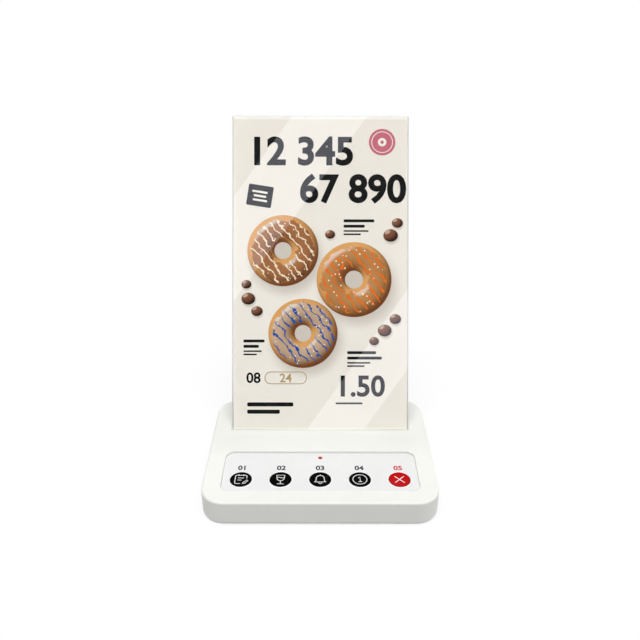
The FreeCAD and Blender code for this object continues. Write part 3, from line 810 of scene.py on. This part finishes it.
for name, x in key_places.items():
    red = name == "cancel"
    key = finished(own_copy(cap, x), f"{name}_key", f"{name}_key", key_red if red else key_black)
    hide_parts(f"{name}_key_cap")
    drawing = drawn(f"{name}_pictogram", drawings[name], bold_stroke_half if red else stroke_half)
    drawing.data.transform(Matrix.Translation((x, key_row, cap_high.z - rim_drop)))
    finished(drawing, f"{name}_pictogram", f"{name}_key", pictogram_white)
    print(key.name, "at", round(x / mm, 1), "mm,", len(key.data.polygons), "faces")
bpy.data.objects.remove(cap)

# %% [markdown]
# ## Numbers on the film
#
# A plain number stands behind each key. It starts as a text object, because Blender's own font
# draws even strokes. It is turned into a mesh first and only then laid on the film, so that its
# place is in its mesh.

# %% Numbers one to five
film_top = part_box("keypad_film")[1].z
label_height = 4.3 * mm
label_row = -17.1 * mm
label_bold = 0.14 * mm


def written(name, words, height, thickness, bold=0.0, align="CENTER"):
    """Flat figures as a mesh, standing on the X axis."""
    bpy.ops.object.select_all(action="DESELECT")
    bpy.ops.object.text_add()
    text = bpy.context.object
    text.name = name
    text.data.body = words
    text.data.align_x = align
    text.data.size = height
    text.data.extrude = thickness / 2
    text.data.offset = bold
    text.data.resolution_u = 4
    bpy.ops.object.convert(target="MESH")
    return bpy.context.object


for number, (name, x) in enumerate(key_places.items(), 1):
    red = name == "cancel"
    label = written(f"{name}_number", f"0{number}", label_height, ink_lift, label_bold)
    label.data.transform(Matrix.Translation((x, label_row, film_top + ink_lift / 2)))
    finished(label, label.name, "base", label_red if red else label_dark, print_angle)
print("five numbers,", round(label_height / mm, 1), "mm high")

# %% [markdown]
# ## Indicator light
#
# A clear red light guide carries the light of a small lamp on the circuit board up to the film.
# It has a flange that rests under the cover and a slightly domed top. Its own glow is a plain
# emission, so it looks lit without another lamp.

# %% Light guide
guide_low, guide_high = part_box("indicator_lens")
guide_flange = 2.0 * mm
guide_radius = 1.0 * mm
guide_row = -8.0 * mm
flange_low, flange_high = 10.6 * mm, 11.4 * mm
dome_height = 0.12 * mm
dome_steps = ((0.22, 0.07), (0.30, 0.035), (0.30, 0.015))
guide = round_bar(guide_flange, flange_low, flange_high, guide_row, 48)
choose("faces", lambda face: at_height(face, flange_high))
bpy.ops.mesh.inset(thickness=guide_flange - guide_radius)
pull(z=guide_high.z - dome_height - flange_high)
for step, height in dome_steps:
    bpy.ops.mesh.inset(thickness=step * mm)
    bpy.ops.transform.translate(value=(0, 0, height * mm))
choose("faces", lambda face: at_height(face, flange_low))
bpy.ops.mesh.inset(thickness=guide_flange - guide_radius)
pull(z=guide_low.z - flange_low)
print("light guide", round((guide_high.z - guide_low.z) / mm, 2), "mm long")

# %% Its glow, brightest in the middle
glowing, place = new_finish(
    "glowing_red", Roughness=0.18, Emission_Strength=0.30, Specular_IOR_Level=0.3
)
x, y, _ = axes(place)
away = x.math("SQRT", x * x + (y - guide_row) * (y - guide_row))
core = rise(away, 0.95 * mm, 0.1 * mm)
specks = noise(place, 3800.0, 2.0)
feed(
    glowing,
    Base_Color=mixed(core, paint(140, 24, 14), paint(168, 70, 4)),
    Emission_Color=mixed(core, paint(170, 30, 16), paint(206, 96, 6)),
    Normal=relief(specks, 0.004 * mm),
)
finished(guide, "indicator_light", "base", glowing)
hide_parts("indicator_lens")
print("finish", glowing.name)

# %% [markdown]
# ## Feet, screws and the parts inside
#
# The feet are soft dark rubber with dust in its pores. The screws and contacts are plated steel,
# drawn or turned, so their finish has fine lines. The circuit board is green lacquer over copper
# tracks. The front hides all of it, but the housing can be opened in the model. These parts keep
# their solid shapes, and only the feet are smoothed.

# %% Rubber
foot_rubber = moulded(
    "foot_rubber", paint(52, 52, 53), paint(66, 66, 66), 3600.0, 0.03 * mm, 0.72,
    Specular_IOR_Level=0.25,
)
for node in ("front_left_foot", "front_right_foot", "rear_left_foot", "rear_right_foot"):
    welded(node, "base", foot_rubber)
print("four rubber feet")


# %% Plated metal
def plated(name, bright, dull, scale, stretch, rough):
    """Plated metal with fine lines along one axis and duller patches."""
    material, place = new_finish(name)
    lines = noise(place.node("Mapping", {}, {"Vector": place, "Scale": stretch}), scale, 3.0)
    patches = rise(noise(place, 240.0, 3.0), 0.4, 0.8)
    feed(
        material,
        Base_Color=mixed(patches * 0.6 + lines * 0.3, bright, dull),
        Metallic=1.0 - patches * 0.08,
        Roughness=rough + lines * 0.18 + patches * 0.1,
        Normal=relief(lines, 0.006 * mm),
    )
    return material


metals = {
    "screw_steel": (paint(200, 200, 196), paint(160, 160, 156), 2200.0, (1, 1, 6), 0.28),
    "contact_plate": (paint(214, 212, 204), paint(182, 178, 168), 1500.0, (1, 9, 1), 0.24),
    "cell_steel": (paint(206, 208, 210), paint(174, 176, 180), 900.0, (9, 1, 1), 0.26),
    "strip_bronze": (paint(214, 150, 96), paint(170, 112, 70), 1500.0, (9, 1, 1), 0.3),
}
metals = {name: plated(name, *look) for name, look in metals.items()}
print(len(metals), "kinds of plated metal")

# %% Circuit board and small electrical parts
board_green, place = new_finish("board_green", Specular_IOR_Level=0.5)
grid = place.node("Mapping", {}, {"Vector": place, "Scale": (380.0, 380.0, 0.0)})
bricks = {"Vector": grid, "Scale": 1.0, "Mortar Size": 0.06, "Color1": (0, 0, 0, 1),
          "Color2": (0, 0, 0, 1), "Mortar": (1, 1, 1, 1)}
tracks = rise(place.node("TexBrick", {}, bricks, "Fac"), 0.3, 0.7)
resin = noise(place, 700.0, 3.0)
lacquer = mixed(resin, paint(18, 84, 48), paint(26, 98, 58))
feed(
    board_green,
    Base_Color=mixed(tracks * 0.7, lacquer, paint(60, 132, 74)),
    Roughness=0.3 + resin * 0.15,
    Normal=relief(tracks, 0.02 * mm),
)
plastics = {
    "chip_black": (paint(38, 38, 40), paint(48, 48, 50), 4200.0, 0.02 * mm, 0.62),
    "switch_black": (paint(30, 30, 31), paint(38, 38, 38), 4200.0, 0.015 * mm, 0.5),
    "plunger_brown": (paint(92, 62, 40), paint(78, 52, 34), 4200.0, 0.01 * mm, 0.45),
    "led_resin": (paint(238, 232, 206), paint(226, 216, 178), 5000.0, 0.005 * mm, 0.25),
    "ceramic_tan": (paint(176, 142, 104), paint(150, 118, 84), 6000.0, 0.02 * mm, 0.6),
}
plastics = {name: moulded(name, *look) for name, look in plastics.items()}
print(board_green.name, "and", len(plastics), "kinds of plastic, resin and ceramic")

# %% Every part inside gets its finish
inside = {
    "housing_screws": "screw_steel", "board_screws": "screw_steel", "main_board": "board_green",
    "control_chip": "chip_black", "radio_chip": "chip_black", "crystal": "contact_plate",
    "indicator_led": "led_resin", "small_parts": "ceramic_tan", "antenna": "strip_bronze",
    "coin_cell": "cell_steel", "cap_contact": "contact_plate", "can_contact": "contact_plate",
}
for name in key_places:
    inside[f"{name}_switch_housing"] = "switch_black"
    inside[f"{name}_switch_frame"] = "contact_plate"
    inside[f"{name}_switch_plunger"] = "plunger_brown"
finishes = {**metals, **plastics, "board_green": board_green}
for node, finish in inside.items():
    coat(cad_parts[node], finishes[finish])
print(len(inside), "parts inside")

# %% [markdown]
# ## Clear holder
#
# The two sheets are clear acrylic. A plain glass shader darkens what lies behind it, because a
# renderer can't easily follow lamp light through a bent surface. So rays from the lamps pass
# straight through, and every other ray is bent and mirrored as in real acrylic. A trace of
# roughness and very fine hairlines keep it from looking like air. Its sawn edges are frosted, and
# they get a painted glow, a faint emission that stands for the light a clear sheet pipes to its
# edges. The three strips between the sheets are a milky plastic, which frames the card with a
# pale line.

# %% Clear acrylic
sheet_half, sheet_top = 45.45, 162.7
clear_acrylic, place = new_finish("clear_acrylic", IOR=1.49, Transmission_Weight=1.0)
wiped = place.node("Mapping", {}, {"Vector": place, "Scale": (40.0, 900.0, 900.0)})
hairlines = rise(noise(wiped, 4.0, 4.0), 0.66, 0.82)
across, _, up = axes(card_axes(place))
side_edges = rise(across.math("ABSOLUTE", across), sheet_half, sheet_half + 0.15)
sawn = across.math("MAXIMUM", side_edges, rise(up, sheet_top, sheet_top + 0.15))
feed(
    clear_acrylic,
    Base_Color=mixed(sawn, (0.985, 0.992, 0.99, 1.0), paint(240, 242, 241)),
    Roughness=0.012 + hairlines * 0.05 + sawn * 0.3,
)
print("finish", clear_acrylic.name)

# %% Frosted edges with a painted glow, and a way for the lamp rays
frost = 0.75
edge_glow_share = 0.45
tree = clear_acrylic.node_tree
sheet = Wire(tree, tree.nodes["Principled BSDF"].outputs[0])
lamp_ray = Wire(tree, place.node("LightPath").socket.node.outputs["Is Shadow Ray"])
frosted = place.node("BsdfDiffuse", {}, {"Color": paint(243, 243, 241)})
# Painted glow: the frosted edges also emit a faint light of their own.
edge_glow = place.node("Emission", {}, {"Color": paint(240, 240, 237), "Strength": 1.0})
edge = place.node("MixShader", {}, {0: edge_glow_share, 1: frosted, 2: edge_glow})
sheet = place.node("MixShader", {}, {0: sawn * frost, 1: sheet, 2: edge})
open_way = place.node("BsdfTransparent", {}, {"Color": (0.86, 0.87, 0.87, 1.0)})
show(place.node("MixShader", {}, {0: lamp_ray, 1: sheet, 2: open_way}))
print("rays from the lamps pass through", clear_acrylic.name)

# %% Milky strips
# Its emission strength serves the painted glow at the strip's foot, set below.
strip_milky = moulded(
    "strip_milky", paint(238, 234, 224), paint(234, 229, 218), 4200.0, 0.006 * mm, 0.50,
    Emission_Strength=1.0,
)
_, _, up = axes(card_axes(Wire(strip_milky.node_tree)))
# Painted glow: the strip's foot emits a faint light that lightens the shade in the slot.
at_foot = rise(up, 0.5, 0.2) * rise(up, -3.0, -2.0)
painted_glow(strip_milky, at_foot, paint(129, 127, 122))
for node in ("front_panel", "rear_panel"):
    coat(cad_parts[node], clear_acrylic)
for node in ("left_strip", "right_strip", "bottom_strip"):
    coat(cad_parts[node], strip_milky)
print("holder of two clear panels on milky strips")

# %% [markdown]
# ## Menu card
#
# The card is cream paper with a generic print: plain figures, three iced rings, round chocolate
# drops, a pink disc and a few plain bars, in soft brown, orange, cream and blue. The paper itself
# carries the soft shadows of the print, worked out from distances in its own material. Everything
# else is a film of ink just above it, so that each shape keeps a crisp edge.

# %% Where the print is, in millimetres across and up the card
rings = {"cocoa": (-19.5, 93.0, 18.5), "orange": (17.5, 78.0, 19.5), "blue": (-9.0, 50.0, 18.0)}
drops = [
    (-37.5, 68.0, 3.6), (-33.0, 61.5, 3.0), (-38.5, 75.5, 2.6),
    (36.5, 101.0, 3.8), (40.0, 107.5, 2.9), (33.5, 51.5, 3.6),
    (39.0, 57.5, 3.0), (28.0, 46.0, 2.5), (5.0, 101.5, 2.6),
]
print(len(rings), "rings and", len(drops), "drops")

# %% Soft shadows of the print
shadow_aside, shadow_below = 0.10, 0.20
shadow_edge, shadow_core = 1.22, 0.80
front_only = 1.75
card_paper, place = new_finish("card_paper", Specular_IOR_Level=0.1)
across, depth, up = axes(card_axes(place))
shadow = 0.0
for x, y, radius in [*rings.values(), *drops]:
    along = across - (x + shadow_aside * radius)
    aloft = up - (y - shadow_below * radius)
    away = across.math("SQRT", along * along + aloft * aloft)
    near = rise(away, shadow_edge * radius, shadow_core * radius)
    shadow = shadow + near - shadow * near
shadow = shadow * (depth < front_only)
print("shadows in", card_paper.name)

# %% Paper
# Painted highlight: paler strips along the card's top and bottom edges.
edge_highlight = up.math("MAXIMUM", rise(up, 0.9, 0.7), rise(up, 161.3, 161.4))
fibres = noise(place, 2600.0, 4.0)
cloud = noise(place, 90.0, 2.0)
cream = mixed(cloud * 0.5, paint(238, 232, 223), paint(235, 229, 219))
# Painted shade: the paper darker towards the top of the card.
cream = mixed(rise(up, 70.0, 163.0) * 0.9, cream, paint(233, 226, 216))
cream = mixed(edge_highlight, cream, paint(247, 243, 234))
feed(
    card_paper,
    Base_Color=mixed(shadow * 0.34, cream, paint(124, 98, 80)),
    Roughness=0.55 + (fibres - 0.5) * 0.2,
    Normal=relief(fibres, 0.008 * mm),
)
coat(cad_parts["menu_card"], card_paper)
print("finish", card_paper.name)


# %% Inks of the card
def card_ink(name, colour, thin):
    """Offset ink on paper, a shade thinner where the fibres show."""
    material, place = new_finish(name, Specular_IOR_Level=0.08)
    fibres = rise(noise(place, 2600.0, 4.0), 0.45, 0.8)
    feed(
        material,
        Base_Color=mixed(fibres * 0.4, colour, thin),
        Roughness=0.6 + fibres * 0.2,
        Normal=relief(fibres, -0.004 * mm),
    )
    return material


ink_black = card_ink("ink_black", paint(14, 14, 15), paint(26, 26, 27))
ink_pink = card_ink("ink_pink", paint(196, 106, 122), paint(204, 122, 134))
ink_cream = card_ink("ink_cream", paint(240, 236, 226), paint(232, 226, 212))
ink_tan = card_ink("ink_tan", paint(176, 150, 104), paint(188, 164, 122))
layer = 0.012 * mm


def printed(piece, name, finish, level=1):
    """Leans a flat piece of print back onto the card, on one of its thin layers."""
    if bpy.context.object.mode == "EDIT":
        bpy.ops.object.mode_set(mode="OBJECT")
    piece.data.transform(on_card(level * layer))
    finished(piece, name, "menu_card", finish, print_angle)


print("four inks")

# %% [markdown]
# ## Figures on the card
#
# Large plain figures head the card, as a title would, and a few small ones stand lower down. They
# are text objects made into meshes, laid flat at their place and then leaned onto the card.

# %% Figures
figures = (
    ("figures_top", "12 345", 20.0, -38.0, 138.0, 0.6, ink_black),
    ("figures_middle", "67 890", 20.0, -11.0, 118.5, 0.6, ink_black),
    ("figures_low", "1.50", 15.0, 8.0, 17.5, 0.35, ink_black),
    ("figures_left", "08", 7.5, -38.5, 24.3, 0.18, ink_black),
    ("figures_right", "24", 6.4, -21.2, 24.6, 0.12, ink_tan),
)
for name, words, height, x, y, bold, finish in figures:
    text = written(name, words, height * mm, layer / 2, bold * mm, "LEFT")
    text.data.transform(Matrix.Translation((x * mm, y * mm, 0)))
    printed(text, name, finish)
    print(name, "with", len(text.data.polygons), "faces")

# %% [markdown]
# ## Iced rings
#
# The rings are prints, so they stay flat and only look round. For each point the material works
# out how far it is from the middle of the ring, from that how steep a real ring would be there,
# and from that how well light from the upper left would fall on it. Noise then breaks the edge
# of the icing, swings the threads that are drizzled over it, and adds crumbs. This keeps the
# print sharp at any distance and needs no picture.

# %% Light on a printed round form
light_left, light_above, light_front = 0.48, 0.62, 0.66


def slope_light(x, y, slope, height):
    """How well light from the upper left falls on a printed round form."""
    return slope * (y * light_above - x * light_left) + height * light_front


print("light falls from the upper left")


# %% A print of an iced ring
ring_hole = 0.24
ring_middle, ring_half = 0.62, 0.38


def iced_ring(name, place_on_card, icing_dark, icing_light, drizzle):
    """A print of a baked ring with icing, shaded as if it were round."""
    x0, y0, radius = place_on_card
    material, place = new_finish(name, Specular_IOR_Level=0.1)
    across, _, up = axes(card_axes(place))
    x, y = (across - x0) / radius, (up - y0) / radius
    r = x.math("SQRT", x * x + y * y)
    tilt = (r - ring_middle) / ring_half
    height = r.math("SQRT", r.math("MAXIMUM", 1.0 - tilt * tilt, 0.0))
    light = slope_light(x / r, y / r, tilt, height)
    flat = place.node("CombineXYZ", {}, {0: x + x0, 1: y + y0})
    wave = noise(flat, 4.0, 2.0)
    crumb = noise(flat, 26.0, 4.0)
    baked = rise(light + (crumb - 0.5) * 0.5, -0.3, 0.95)
    dough = mixed(baked, paint(112, 62, 26), paint(222, 164, 98))
    iced = rise(0.70 + (wave - 0.5) * 0.9 - tilt.math("ABSOLUTE", tilt), 0.0, 0.05)
    icing = mixed(rise(light, -0.25, 0.95), icing_dark, icing_light)
    swing = (x * 0.78 + y * 0.62) * 15.0 + (wave - 0.5) * 5.0
    thread = rise(swing.math("ABSOLUTE", swing.math("SINE", swing)), 0.40, 0.26)
    icing = mixed(thread * rise(height, 0.45, 0.6), icing, drizzle)
    beads = place.node("TexVoronoi", {}, {"Vector": flat, "Scale": 7.5}, "Distance")
    icing = mixed(rise(beads, 0.17, 0.13) * rise(height, 0.5, 0.7), icing, paint(250, 240, 214))
    icing = mixed(rise(light, 0.86, 0.99) * 0.45, icing, paint(255, 252, 246))
    feed(
        material,
        Base_Color=mixed(iced, dough, icing),
        Roughness=0.42 + crumb * 0.15,
        Normal=relief(crumb, 0.004 * mm),
    )
    return material


print("recipe for an iced ring")

# %% Three iced rings
icing_colours = {
    "cocoa": (paint(88, 46, 24), paint(170, 112, 70), paint(244, 226, 196)),
    "orange": (paint(118, 66, 24), paint(190, 138, 82), paint(228, 108, 26)),
    "blue": (paint(104, 72, 50), paint(202, 172, 140), paint(14, 76, 160)),
}
icings = {
    name: iced_ring(f"print_{name}", rings[name], *colours)
    for name, colours in icing_colours.items()
}


def flat_circle(x, y, radius, corners):
    """Adds a flat disc with its place in its mesh, in millimetres, and opens it for editing."""
    bpy.ops.object.select_all(action="DESELECT")
    bpy.ops.mesh.primitive_circle_add(
        vertices=corners, radius=radius * mm, fill_type="NGON", location=(x * mm, y * mm, 0)
    )
    bpy.ops.object.transform_apply(location=True, rotation=True, scale=True)
    bpy.ops.object.mode_set(mode="EDIT")
    return bpy.context.object


def keep_rim(width):
    """Takes out the middle of a flat face and leaves a rim of the given width in metres."""
    bpy.ops.mesh.inset(thickness=width)
    bpy.ops.mesh.delete(type="FACE")


for name, (x, y, radius) in rings.items():
    ring = flat_circle(x, y, radius, 96)
    keep_rim((1 - ring_hole) * radius * mm)
    printed(ring, f"ring_{name}", icings[name])
    print(ring.name, round(2 * radius, 1), "mm across")

# %% [markdown]
# ## Chocolate drops
#
# The drops use the same trick, and all nine share one material. It reads each drop's own UV map,
# which runs from 0 to 1 across a new circle, so the light is worked out from the middle of the
# drop, wherever that lies.

# %% Finish of a drop
drop_print, place = new_finish("cocoa_drop", Specular_IOR_Level=0.1)
u, v, _ = axes(place.node("TexCoord", {}, {}, "UV"))
x, y = u * 2.0 - 1.0, v * 2.0 - 1.0
height = x.math("SQRT", x.math("MAXIMUM", 1.0 - x * x - y * y, 0.0))
light = slope_light(x, y, 1.0, height)
grain = noise(place, 1500.0, 3.0)
lit = rise(light + (grain - 0.5) * 0.3, -0.2, 0.95)
cocoa = mixed(lit, paint(44, 22, 14), paint(128, 80, 56))
feed(
    drop_print,
    Base_Color=mixed(rise(light, 0.88, 0.99) * 0.6, cocoa, paint(226, 204, 186)),
    Roughness=0.45 + grain * 0.1,
    Normal=relief(grain, 0.003 * mm),
)
print("finish", drop_print.name)

# %% Nine chocolate drops
drop_height = 0.86
for number, (x, y, radius) in enumerate(drops, 1):
    drop = flat_circle(x, y, radius, 40)
    bpy.ops.mesh.inset(thickness=0.25 * radius * mm)
    bpy.ops.mesh.select_all(action="SELECT")
    bpy.ops.transform.resize(value=(1.0, drop_height, 1.0), center_override=(x * mm, y * mm, 0))
    printed(drop, f"drop_{number}", drop_print)
print(len(drops), "chocolate drops")

# %% [markdown]
# ## Bars, tag, frame and disc
#
# Short bars stand for lines of small print, so that the card reads as a menu from afar and says
# nothing up close. A bar is a plane with bevelled corners. The same function makes the tilted
# tag, the bars on it and, with its middle taken out, the frame round a small figure.


# %% A bar with round corners
def rounded_bar(name, x, y, width, height, corner, finish, level=1, outline=0.0, turn=0.0):
    """A flat bar with round corners, or only its outline."""
    bpy.ops.object.select_all(action="DESELECT")
    bpy.ops.mesh.primitive_plane_add(size=1.0)
    bar = bpy.context.object
    bpy.ops.object.mode_set(mode="EDIT")
    bpy.ops.transform.resize(value=(width * mm, height * mm, 1.0), center_override=(0, 0, 0))
    bpy.ops.mesh.bevel(offset=corner * mm, affect="VERTICES", segments=6)
    if outline:
        choose("faces", lambda face: True)
        keep_rim(outline * mm)
    bpy.ops.object.mode_set(mode="OBJECT")
    placed = Matrix.Translation((x * mm, y * mm, 0)) @ Matrix.Rotation(math.radians(turn), 4, "Z")
    bar.data.transform(placed)
    printed(bar, name, finish, level)


print("recipe for a bar")

# %% All bars, the tag and the frame
bars = [
    (12.0, 108.6, 16.0, 1.5), (12.0, 105.8, 11.0, 1.5),
    (12.0, 103.3, 13.0, 0.8), (12.0, 101.6, 9.0, 0.8),
    (-40.0, 46.0, 11.0, 1.5), (-40.0, 43.2, 8.0, 1.5),
    (-40.0, 40.7, 9.5, 0.8), (-40.0, 39.0, 7.0, 0.8),
    (14.0, 40.0, 15.0, 1.5), (14.0, 37.2, 18.0, 1.5),
    (14.0, 34.7, 12.0, 0.8), (14.0, 33.0, 9.0, 0.8),
    (-38.0, 13.0, 24.0, 2.1), (-38.0, 9.2, 17.0, 2.1), (8.0, 13.6, 14.0, 0.9),
]
for number, (left, y, width, height) in enumerate(bars, 1):
    rounded_bar(f"bar_{number}", left + width / 2, y, width, height, 0.3 * height, ink_black)
tag_across = -31.5
tag_turn = -9.0
rounded_bar("tag", tag_across, 121.5, 13.0, 11.0, 0.6, ink_black, turn=tag_turn)
for number, (y, width) in enumerate(((123.6, 8.0), (121.4, 6.5), (119.2, 7.5)), 1):
    rounded_bar(f"tag_bar_{number}", tag_across, y, width, 1.1, 0.3, ink_cream, 2, turn=tag_turn)
rounded_bar("frame_pill", -18.0, 26.8, 22.0, 6.6, 3.2, ink_tan, outline=0.45)
print(len(bars) + 5, "flat shapes")

# %% Pink disc with its own fine ring
disc_across, disc_up = 32.0, 149.5
discs = (
    ("disc_pink", 6.9, 0.0, ink_pink, 1),
    ("disc_line", 5.6, 5.2, ink_cream, 2),
    ("disc_middle", 2.2, 0.9, ink_cream, 2),
)
for name, radius, hole, finish, level in discs:
    disc = flat_circle(disc_across, disc_up, radius, 72)
    if hole:
        keep_rim((radius - hole) * mm)
    printed(disc, name, finish, level)
print("pink disc")
